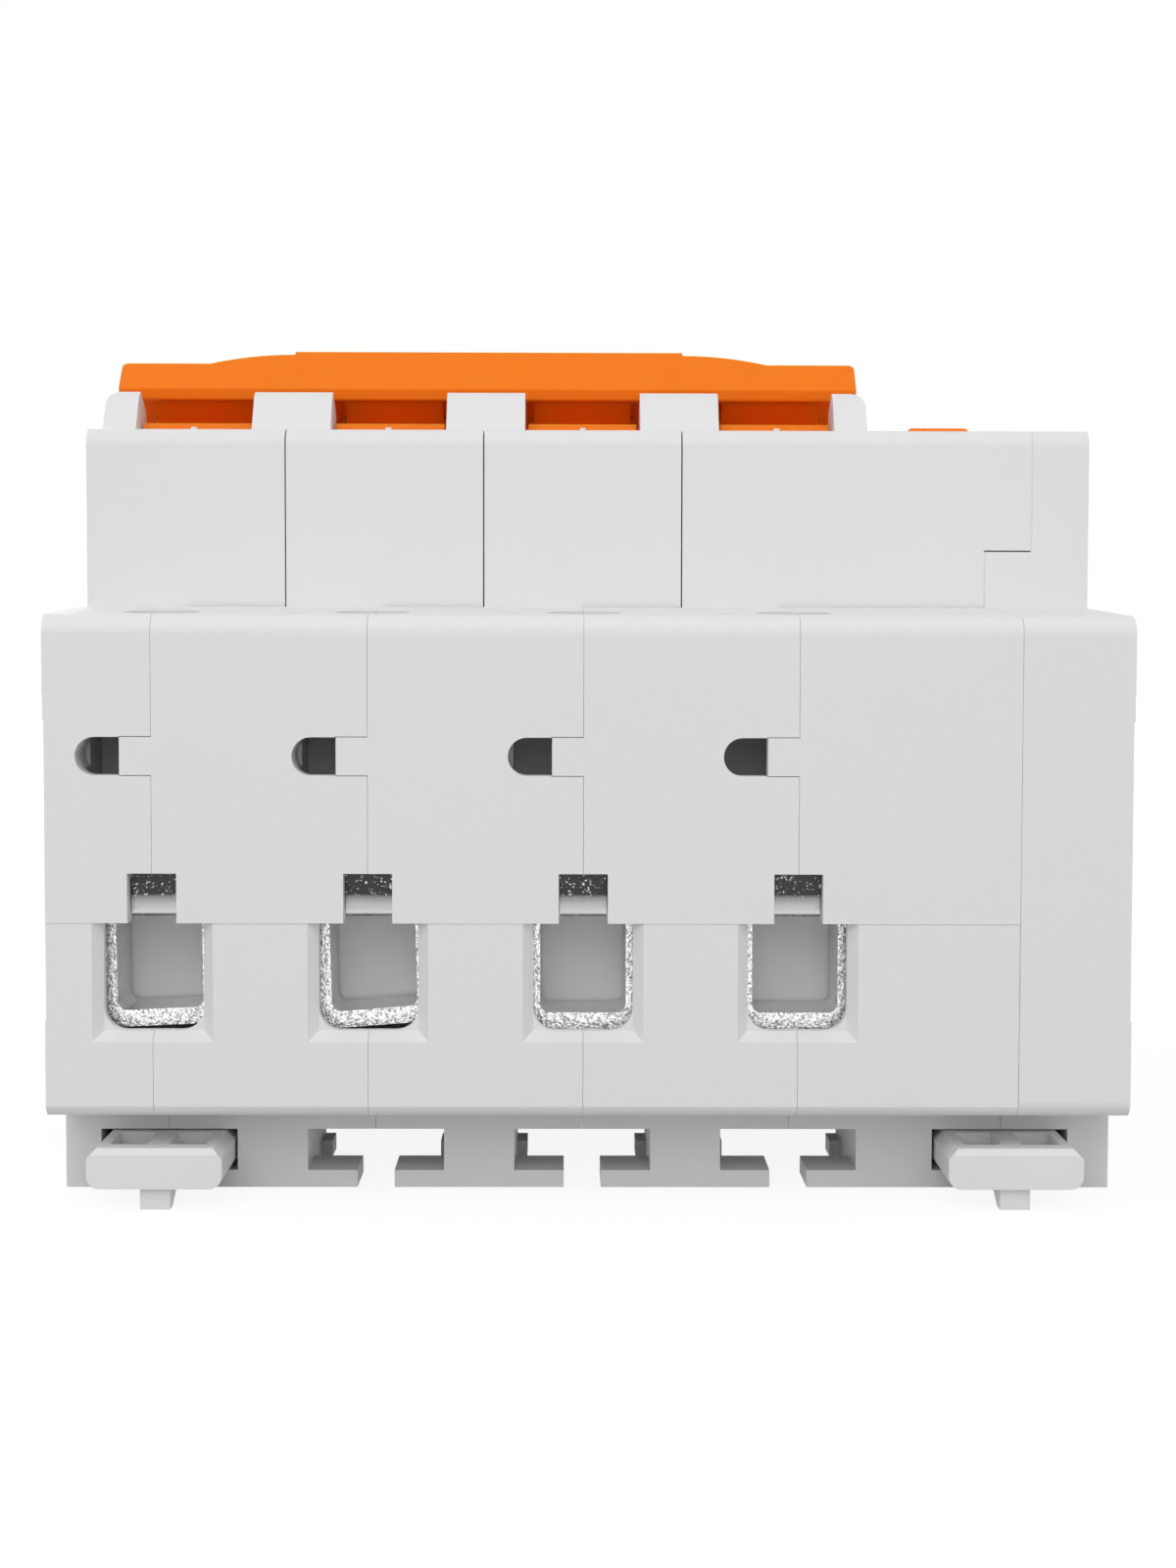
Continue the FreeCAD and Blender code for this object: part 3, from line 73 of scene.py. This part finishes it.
def startMaterial(name):
    material = bpy.data.materials.new(name)
    material.use_nodes = True
    tree = material.node_tree
    shader = tree.nodes["Principled BSDF"]
    return material, tree, shader


# A socket takes either another socket or a value.
def feed(tree, socket, value):
    if isinstance(value, bpy.types.NodeSocket):
        tree.links.new(value, socket)
    else:
        socket.default_value = value


def objectCoordinates(tree):
    return tree.nodes.new("ShaderNodeTexCoord").outputs["Object"]


# One of the three parts, X, Y or Z, of a vector.
def partOf(tree, vector, axis):
    split = tree.nodes.new("ShaderNodeSeparateXYZ")
    tree.links.new(vector, split.inputs["Vector"])
    return split.outputs[axis]


def noise(tree, scale, detail=3.0, roughness=0.6, place=None):
    texture = tree.nodes.new("ShaderNodeTexNoise")
    texture.inputs["Scale"].default_value = scale
    texture.inputs["Detail"].default_value = detail
    texture.inputs["Roughness"].default_value = roughness
    tree.links.new(objectCoordinates(tree) if place is None else place, texture.inputs["Vector"])
    return texture.outputs["Fac"]


# The usual range takes in nearly all that a noise gives.
def mapped(tree, value, low, high, fromLow=0.3, fromHigh=0.7):
    node = tree.nodes.new("ShaderNodeMapRange")
    node.inputs["From Min"].default_value = fromLow
    node.inputs["From Max"].default_value = fromHigh
    node.inputs["To Min"].default_value = low
    node.inputs["To Max"].default_value = high
    tree.links.new(value, node.inputs["Value"])
    return node.outputs["Result"]


def calculate(tree, operation, first, second=0.0):
    node = tree.nodes.new("ShaderNodeMath")
    node.operation = operation
    feed(tree, node.inputs[0], first)
    feed(tree, node.inputs[1], second)
    return node.outputs[0]


# Relief over the faces, or over another relief under it.
def bump(tree, height, distance, under=None):
    node = tree.nodes.new("ShaderNodeBump")
    node.inputs["Strength"].default_value = 1.0
    feed(tree, node.inputs["Distance"], distance)
    tree.links.new(height, node.inputs["Height"])
    if under is not None:
        tree.links.new(under, node.inputs["Normal"])
    return node.outputs["Normal"]


def blendColours(tree, factor, first, second):
    node = tree.nodes.new("ShaderNodeMix")
    node.data_type = "RGBA"
    feed(tree, node.inputs["A"], first)
    feed(tree, node.inputs["B"], second)
    feed(tree, node.inputs["Factor"], factor)
    return node.outputs["Result"]


# The same in all plastics: how small the cloud is, how fine the grain and how far the roughness varies.
moulding = {"cloudScale": 45, "grainDetail": 2, "roughnessSpread": 0.05}


# Moulded plastic: even colour with a faint cloud in it and the fine grain of a spark-eroded mould.
# A pigmented one lets some light seep through, so its undersides and hollows stay bright.
def mouldedPlastic(name, look):
    material, tree, shader = startMaterial(name)
    base = look["colour"]
    shade = [channel * (1 - look["cloud"]) for channel in base[:3]] + [1]
    cloud = mapped(tree, noise(tree, moulding["cloudScale"]), 0, 1)
    tree.links.new(blendColours(tree, cloud, base, shade), shader.inputs["Base Color"])
    grain = noise(tree, look["grainScale"], moulding["grainDetail"])
    smoothest = look["roughness"] - moulding["roughnessSpread"]
    roughest = look["roughness"] + moulding["roughnessSpread"]
    tree.links.new(mapped(tree, grain, smoothest, roughest), shader.inputs["Roughness"])
    tree.links.new(bump(tree, grain, look["grainDepth"]), shader.inputs["Normal"])
    shader.inputs["Specular IOR Level"].default_value = look["gloss"]
    if "seep" in look:
        shader.inputs["Subsurface Weight"].default_value = look["seep"]
        shader.inputs["Subsurface Radius"].default_value = look["seepTint"]
        shader.inputs["Subsurface Scale"].default_value = look["seepReach"]
    return material


# The same in all metals: dull patches, the drawn grain, the range of the roughness and the cut ends.
metalwork = {"patchScale": 320, "drawnDetail": 4, "drawnRoughness": 0.5,
             "smoothShare": 0.75, "roughShare": 1.3,
             "tornDetail": 2, "tornRoughness": 0.75, "endFacing": 0.9, "cutFade": 0.3 * mm}


# 1 on the faces that look along the conductor, and where a height is given only above it.
def cutEnds(tree, look):
    facing = tree.nodes.new("ShaderNodeTexCoord").outputs["Normal"]
    along = calculate(tree, "ABSOLUTE", partOf(tree, facing, "Y"))
    ends = calculate(tree, "GREATER_THAN", along, metalwork["endFacing"])
    if "cutAbove" not in look:
        return ends
    height = partOf(tree, objectCoordinates(tree), "Z")
    above = mapped(tree, height, 0, 1, look["cutAbove"], look["cutAbove"] + metalwork["cutFade"])
    return calculate(tree, "MULTIPLY", ends, above)


# A plate with a painted reflection goes from bright at its lower edge to dark further up, a painted
# reflection of the white ground on its curved lip; any other metal is dull in patches.
def metalTint(tree, look):
    if "paintedReflectionBand" in look:
        height = mapped(tree, partOf(tree, objectCoordinates(tree), "Z"), 0, 1, *look["paintedReflectionBand"])
        return blendColours(tree, height, look["colour"], look["paintedReflectionDark"])
    dull = [channel * look["dullness"] for channel in look["colour"][:3]] + [1]
    patch = mapped(tree, noise(tree, metalwork["patchScale"]), 0, 1)
    return blendColours(tree, patch, look["colour"], dull)


# Bare or plated metal with a drawn surface. Ends that a shear has cut are rough and sparkle.
def metal(name, look):
    material, tree, shader = startMaterial(name)
    drawn = tree.nodes.new("ShaderNodeMapping")
    drawn.inputs["Scale"].default_value = look["stretch"]
    tree.links.new(objectCoordinates(tree), drawn.inputs["Vector"])
    detail, grainRoughness = metalwork["drawnDetail"], metalwork["drawnRoughness"]
    grain = noise(tree, look["grainScale"], detail, grainRoughness, drawn.outputs["Vector"])
    tint = metalTint(tree, look)
    surface = bump(tree, grain, look["grainDepth"])
    smoothest = look["roughness"] * metalwork["smoothShare"]
    roughest = look["roughness"] * metalwork["roughShare"]
    roughness = mapped(tree, grain, smoothest, roughest)
    if "cutScale" in look:
        torn = noise(tree, look["cutScale"], metalwork["tornDetail"], metalwork["tornRoughness"])
        cut = cutEnds(tree, look)
        bright = mapped(tree, torn, 0, 1, *look["cutSpread"])
        tint = blendColours(tree, cut, tint, blendColours(tree, bright, look["cutDark"], look["cutBright"]))
        surface = bump(tree, torn, mapped(tree, cut, 0, look["cutDepth"], 0, 1), surface)
    tree.links.new(tint, shader.inputs["Base Color"])
    shader.inputs["Metallic"].default_value = look["metallic"]
    tree.links.new(roughness, shader.inputs["Roughness"])
    tree.links.new(surface, shader.inputs["Normal"])
    return material


# One look for each slot. Cut ends and the painted reflection on the tin plate are given by height above the
# rail face where they need it.
housingLook = {"colour": colour(230, 230, 230), "cloud": 0.012, "roughness": 0.5, "gloss": 0.35,
               "grainScale": 5200, "grainDepth": 0.012 * mm}
clipLook = {"colour": colour(230, 230, 231), "cloud": 0.01, "roughness": 0.36, "gloss": 0.45,
            "grainScale": 3800, "grainDepth": 0.008 * mm}
handleLook = {"colour": colour(253, 128, 18), "cloud": 0.02, "roughness": 0.45, "gloss": 0.15,
              "grainScale": 4200, "grainDepth": 0.008 * mm,
              "seep": 0.6, "seepTint": (1.0, 0.5, 0.15), "seepReach": 1.6 * mm}
buttonLook = {**handleLook, "colour": colour(252, 125, 18), "roughness": 0.42}
darkLook = {"colour": colour(42, 42, 45), "cloud": 0.1, "roughness": 0.5, "gloss": 0.4,
            "grainScale": 3000, "grainDepth": 0.01 * mm}
casingLook = {"colour": colour(58, 72, 112), "cloud": 0.1, "roughness": 0.5, "gloss": 0.4,
              "grainScale": 3000, "grainDepth": 0.01 * mm}
boardLook = {"colour": colour(34, 96, 58), "cloud": 0.1, "roughness": 0.35, "gloss": 0.5,
             "grainScale": 1500, "grainDepth": 0.008 * mm}
zincLook = {"colour": colour(232, 232, 230), "dullness": 0.85, "metallic": 1.0, "roughness": 0.22,
            "stretch": (1, 1, 1), "grainScale": 2600, "grainDepth": 0.004 * mm,
            "cutScale": 4000, "cutDepth": 0.06 * mm, "cutSpread": (0.38, 0.56),
            "cutDark": colour(152, 152, 151), "cutBright": colour(254, 254, 252)}
# Tin plate: its own bright colour below 18.6 mm, then a painted reflection that darkens up to 20.6 mm,
# standing in for the white ground mirrored in the curved lip.
tinLook = {"colour": colour(246, 245, 242), "metallic": 1.0, "roughness": 0.24,
           "stretch": (1, 1, 0.4), "grainScale": 2200, "grainDepth": 0.004 * mm,
           "paintedReflectionBand": (18.6 * mm, 20.6 * mm), "paintedReflectionDark": colour(138, 137, 135),
           "cutAbove": 20.6 * mm, "cutScale": 3600, "cutDepth": 0.04 * mm, "cutSpread": (0.6, 0.72),
           "cutDark": colour(62, 61, 60), "cutBright": colour(225, 224, 221)}
steelLook = {"colour": colour(196, 196, 198), "dullness": 0.8, "metallic": 1.0, "roughness": 0.3,
             "stretch": (1, 1, 1), "grainScale": 1800, "grainDepth": 0.01 * mm}
copperLook = {"colour": colour(216, 148, 112), "dullness": 0.75, "metallic": 1.0, "roughness": 0.3,
              "stretch": (1, 1, 1), "grainScale": 1800, "grainDepth": 0.01 * mm}
bimetalLook = {"colour": colour(180, 172, 160), "dullness": 0.8, "metallic": 1.0, "roughness": 0.35,
               "stretch": (1, 1, 0.2), "grainScale": 1800, "grainDepth": 0.01 * mm}

finishes = {
    "housing_plastic": mouldedPlastic("housingPlastic", housingLook),
    "clip_plastic": mouldedPlastic("clipPlastic", clipLook),
    "handle_plastic": mouldedPlastic("handlePlastic", handleLook),
    "button_plastic": mouldedPlastic("buttonPlastic", buttonLook),
    "dark_plastic": mouldedPlastic("darkPlastic", darkLook),
    "coil_casing": mouldedPlastic("coilCasing", casingLook),
    "board": mouldedPlastic("boardLacquer", boardLook),
    "plated_steel": metal("zincPlate", zincLook),
    "plated_copper": metal("tinPlate", tinLook),
    "steel": metal("bareSteel", steelLook),
    "copper": metal("bareCopper", copperLook),
    "bimetal": metal("bimetalStrip", bimetalLook),
}
slotOf = {part["node"]: part["material_slot"] for part in frame["record"]["subparts"]}
for name, part in nodes.items():
    part.data.materials.clear()
    part.data.materials.append(finishes[slotOf[name]])
print("finishes ready:", len(finishes))

# The floors of two cages stand a little askew, so their lower part is turned about a line below the plate.
# Turns are in degrees. From a higher line the turned walls would meet the plate when the cage is up.
askew = {"turn": {"cage_load_1": 2.6, "cage_load_2": 4.6}, "level": 15.5 * mm, "lift": 0.3 * mm}


def bentCage(name):
    cage = nodes[name].copy()
    cage.data = nodes[name].data.copy()
    cage.name = name.replace("cage", "askewCage")
    bpy.context.scene.collection.objects.link(cage)
    lowest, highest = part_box(name)
    hub = Vector(((lowest[0] + highest[0]) / 2, 0, askew["level"]))
    turn = Matrix.Rotation(-math.radians(askew["turn"][name]), 3, "Y")
    for vertex in cage.data.vertices:
        if vertex.co.z < askew["level"]:
            vertex.co = hub + turn @ (vertex.co - hub) + Vector((0, 0, askew["lift"]))
    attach(cage, name)
    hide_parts(name)
    return cage


askewCages = {name: bentCage(name) for name in askew["turn"]}
print("cages set askew:", len(askewCages))

# The end cover fits tightly on the nose: its joint and the tongue's upright edge are closed to a hairline.
# The strip lies sunk below the nose's faces and top, and reaches to the depth given.
coverJoint = {"x": 39.9 * mm, "width": 0.12 * mm, "face": 22.5 * mm, "top": 60.95 * mm, "round": 1.5 * mm,
              "depth": 1.2 * mm, "sunk": 0.07 * mm, "arcSteps": 6,
              "tongueX": 35.7 * mm, "tongueLow": 41.8 * mm, "tongueHigh": 50.05 * mm}
# A box's faces by the numbers of its corners, which count up through z first, then y, then x.
boxFaces = ((0, 1, 3, 2), (4, 6, 7, 5), (0, 4, 5, 1), (2, 3, 7, 6), (0, 2, 6, 4), (1, 5, 7, 3))


def addBox(mesh, low, high):
    places = [(x, y, z) for x in (low[0], high[0]) for y in (low[1], high[1]) for z in (low[2], high[2])]
    corners = [mesh.verts.new(place) for place in places]
    for face in boxFaces:
        mesh.faces.new([corners[index] for index in face])


def housingPiece(name, mesh):
    data = bpy.data.meshes.new(name)
    bmesh.ops.recalc_face_normals(mesh, faces=mesh.faces)
    mesh.to_mesh(data)
    mesh.free()
    piece = bpy.data.objects.new(name, data)
    bpy.context.scene.collection.objects.link(piece)
    data.materials.append(finishes["housing_plastic"])
    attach(piece, "housing")


# Half of the band that runs over the nose, from the tongue's top on one face to the middle of the top.
def jointOutline(side, inwards):
    look = coverJoint
    reach, height, radius = look["face"] - inwards, look["top"] - inwards, look["round"] - inwards
    centre = (reach - radius, height - radius)
    points = [(side * reach, look["tongueHigh"])]
    for step in range(look["arcSteps"] + 1):
        angle = math.pi / 2 * step / look["arcSteps"]
        points.append((side * (centre[0] + radius * math.cos(angle)), centre[1] + radius * math.sin(angle)))
    return points + [(0, height)]


# Faces between neighbouring lines of points, and from the last line back to the first.
def addTube(mesh, lines):
    rings = [[mesh.verts.new(point) for point in line] for line in lines]
    for first, second in zip(rings, rings[1:] + rings[:1]):
        for step in range(len(first) - 1):
            mesh.faces.new((first[step], second[step], second[step + 1], first[step + 1]))


def closeCoverJoint():
    look = coverJoint
    half = look["width"] / 2
    left, right = look["x"] - half, look["x"] + half
    mesh = bmesh.new()
    for side in (-1, 1):
        outer, inner = jointOutline(side, look["sunk"]), jointOutline(side, look["depth"])
        edges = ((left, outer), (right, outer), (right, inner), (left, inner))
        addTube(mesh, [[(x, y, z) for y, z in outline] for x, outline in edges])
        near, far = sorted((side * (look["face"] - look["sunk"]), side * (look["face"] - look["depth"])))
        low = (look["tongueX"] - half, near, look["tongueLow"])
        high = (look["tongueX"] + half, far, look["tongueHigh"])
        addBox(mesh, low, high)
    housingPiece("coverJoint", mesh)


closeCoverJoint()

# The rear wall of each terminal chamber is one smooth sheet, although two shells meet behind it.
chamberWall = {"pitch": 17.8 * mm, "first": -36.1 * mm, "count": 4, "width": 11.76 * mm,
               "low": 9.02 * mm, "high": 33.98 * mm, "place": 32.2 * mm, "thickness": 0.03 * mm}


def lineChambers():
    look = chamberWall
    half = look["width"] / 2
    mesh = bmesh.new()
    for side in (-1, 1):
        near, far = sorted((side * look["place"], side * (look["place"] + look["thickness"])))
        for pole in range(look["count"]):
            centre = look["first"] + look["pitch"] * pole
            addBox(mesh, (centre - half, near, look["low"]), (centre + half, far, look["high"]))
    housingPiece("chamberWalls", mesh)


lineChambers()
print("joints closed")

# Moulded edges are never knife sharp: flat faces are merged and the edges between them softened.
# The widths go by the start of a part's name, and the angles are in degrees.
edgeWidths = {"shell": 0.025 * mm, "end_cover": 0.025 * mm, "rail_clip": 0.22 * mm, "handle_bar": 0.14 * mm,
              "toggle_": 0.14 * mm, "test_button": 0.14 * mm, "cage": 0.12 * mm, "screw": 0.08 * mm}
softEdges = {"sharp": ["toggle_axle"], "flatWithin": 0.6, "edgeFrom": 35, "segments": 2}


def softenPart(part, width):
    merge = part.modifiers.new("mergeFlats", "DECIMATE")
    merge.decimate_type = "DISSOLVE"
    merge.angle_limit = math.radians(softEdges["flatWithin"])
    soften = part.modifiers.new("softenEdges", "BEVEL")
    soften.width = width
    soften.segments = softEdges["segments"]
    soften.limit_method = "ANGLE"
    soften.angle_limit = math.radians(softEdges["edgeFrom"])
    soften.use_clamp_overlap = True
    soften.harden_normals = True
    soften.miter_outer = "MITER_ARC"


softened = 0
for name, part in {**nodes, **askewCages}.items():
    widths = [width for start, width in edgeWidths.items() if name.startswith(start)]
    if widths and name not in softEdges["sharp"]:
        softenPart(part, widths[0])
        softened += 1
print("edges softened:", softened)

# Studio: a white ground, soft lamps above in front, at the right, at eye level and behind, and a pale sky.
# The ground glows for the camera and for gloss only, more so far away, so that it is white to its edge.
# Places, sizes and reaches are in metres, powers in watts.
ground = {"size": 4.0, "tone": 0.6, "roughness": 0.9, "gloss": 0.1, "glowShare": 0.8,
          "nearGlow": 1.13, "farGlow": 1.4, "nearReach": 0.2, "farReach": 0.8}
lampAim = (0, 0, 0.03)
lamps = {"keyLamp": {"place": (-0.1, -0.42, 0.42), "size": (0.5, 0.5), "power": 1.15},
         "fillLamp": {"place": (0.4, -0.3, 0.2), "size": (0.4, 0.4), "power": 0.15},
         "frontLamp": {"place": (0, -0.8, 0.2), "size": (0.5, 0.25), "power": 0.45},
         "backLamp": {"place": (-0.3, 0.55, 0.3), "size": (0.4, 0.4), "power": 0.5}}
sky = {"low": 0.42, "high": 0.68, "highFrom": 0.8, "seen": 1.0}


# 1 for rays from the camera, and for those that reach the ground or sky by way of gloss, metal or glass.
def seenRay(tree):
    path = tree.nodes.new("ShaderNodeLightPath")
    seen = calculate(tree, "MAXIMUM", path.outputs["Is Camera Ray"], path.outputs["Is Glossy Ray"])
    return calculate(tree, "MAXIMUM", seen, path.outputs["Is Transmission Ray"])


def whiteGround():
    material, tree, shader = startMaterial("whiteGround")
    shader.inputs["Base Color"].default_value = (ground["tone"], ground["tone"], ground["tone"], 1)
    shader.inputs["Roughness"].default_value = ground["roughness"]
    shader.inputs["Specular IOR Level"].default_value = ground["gloss"]
    white = tree.nodes.new("ShaderNodeEmission")
    white.inputs["Color"].default_value = (1, 1, 1, 1)
    away = tree.nodes.new("ShaderNodeVectorMath")
    away.operation = "LENGTH"
    tree.links.new(objectCoordinates(tree), away.inputs[0])
    reach = (ground["nearReach"], ground["farReach"])
    glow = mapped(tree, away.outputs["Value"], ground["nearGlow"], ground["farGlow"], *reach)
    tree.links.new(glow, white.inputs["Strength"])
    mix = tree.nodes.new("ShaderNodeMixShader")
    tree.links.new(calculate(tree, "MULTIPLY", seenRay(tree), ground["glowShare"]), mix.inputs["Fac"])
    tree.links.new(shader.outputs["BSDF"], mix.inputs[1])
    tree.links.new(white.outputs["Emission"], mix.inputs[2])
    tree.links.new(mix.outputs["Shader"], tree.nodes["Material Output"].inputs["Surface"])
    return material


def layFloor(level):
    half = ground["size"] / 2
    corners = [(-half, -half, level), (half, -half, level), (half, half, level), (-half, half, level)]
    mesh = bpy.data.meshes.new("floor")
    mesh.from_pydata(corners, [], [(0, 1, 2, 3)])
    mesh.materials.append(whiteGround())
    floor = bpy.data.objects.new("floor", mesh)
    bpy.context.scene.collection.objects.link(floor)


def softLamp(name, look):
    data = bpy.data.lights.new(name, "AREA")
    data.shape = "RECTANGLE"
    data.size, data.size_y = look["size"]
    data.energy = look["power"]
    lamp = bpy.data.objects.new(name, data)
    lamp.location = look["place"]
    ahead = Vector(lampAim) - Vector(look["place"])
    lamp.rotation_euler = ahead.to_track_quat("-Z", "Y").to_euler()
    bpy.context.scene.collection.objects.link(lamp)


# The sky lights the object softly, brighter from above, and is plain white where it is seen.
def paleSky():
    world = bpy.data.worlds.new("paleSky")
    bpy.context.scene.world = world
    world.use_nodes = True
    tree = world.node_tree
    background = tree.nodes["Background"]
    background.inputs["Color"].default_value = (1, 1, 1, 1)
    height = partOf(tree, tree.nodes.new("ShaderNodeTexCoord").outputs["Generated"], "Z")
    mix = tree.nodes.new("ShaderNodeMix")
    tree.links.new(seenRay(tree), mix.inputs["Factor"])
    tree.links.new(mapped(tree, height, sky["low"], sky["high"], 0, sky["highFrom"]), mix.inputs["A"])
    mix.inputs["B"].default_value = sky["seen"]
    tree.links.new(mix.outputs["Result"], background.inputs["Strength"])


layFloor(level=cadBox[0][2])
for name, look in lamps.items():
    softLamp(name, look)
paleSky()

# Camera at the photograph's angle: place, turn to the right, downward tilt and roll in degrees.
view = {"place": (-1.8 * mm, -247.85 * mm, 41.67 * mm), "turn": 0.464, "tilt": 3.205, "roll": 0.132,
        "lens": 57.33, "sensor": 36, "nearest": 0.01, "farthest": 10}


def photoCamera():
    turn, tilt, roll = (math.radians(view[key]) for key in ("turn", "tilt", "roll"))
    ahead = Vector((math.sin(turn) * math.cos(tilt), math.cos(turn) * math.cos(tilt), -math.sin(tilt)))
    right = Vector((math.cos(turn), -math.sin(turn), 0))
    up = right.cross(ahead)
    rolledRight = right * math.cos(roll) + up * math.sin(roll)
    rolledUp = up * math.cos(roll) - right * math.sin(roll)
    data = bpy.data.cameras.new("photoCamera")
    data.lens = view["lens"]
    data.sensor_width = view["sensor"]
    data.clip_start = view["nearest"]
    data.clip_end = view["farthest"]
    camera = bpy.data.objects.new("photoCamera", data)
    turned = Matrix((rolledRight, rolledUp, -ahead)).transposed()
    camera.matrix_world = Matrix.Translation(view["place"]) @ turned.to_4x4()
    bpy.context.scene.collection.objects.link(camera)
    bpy.context.scene.camera = camera


photoCamera()
bpy.context.scene.view_settings.view_transform = "Standard"
print("studio ready")
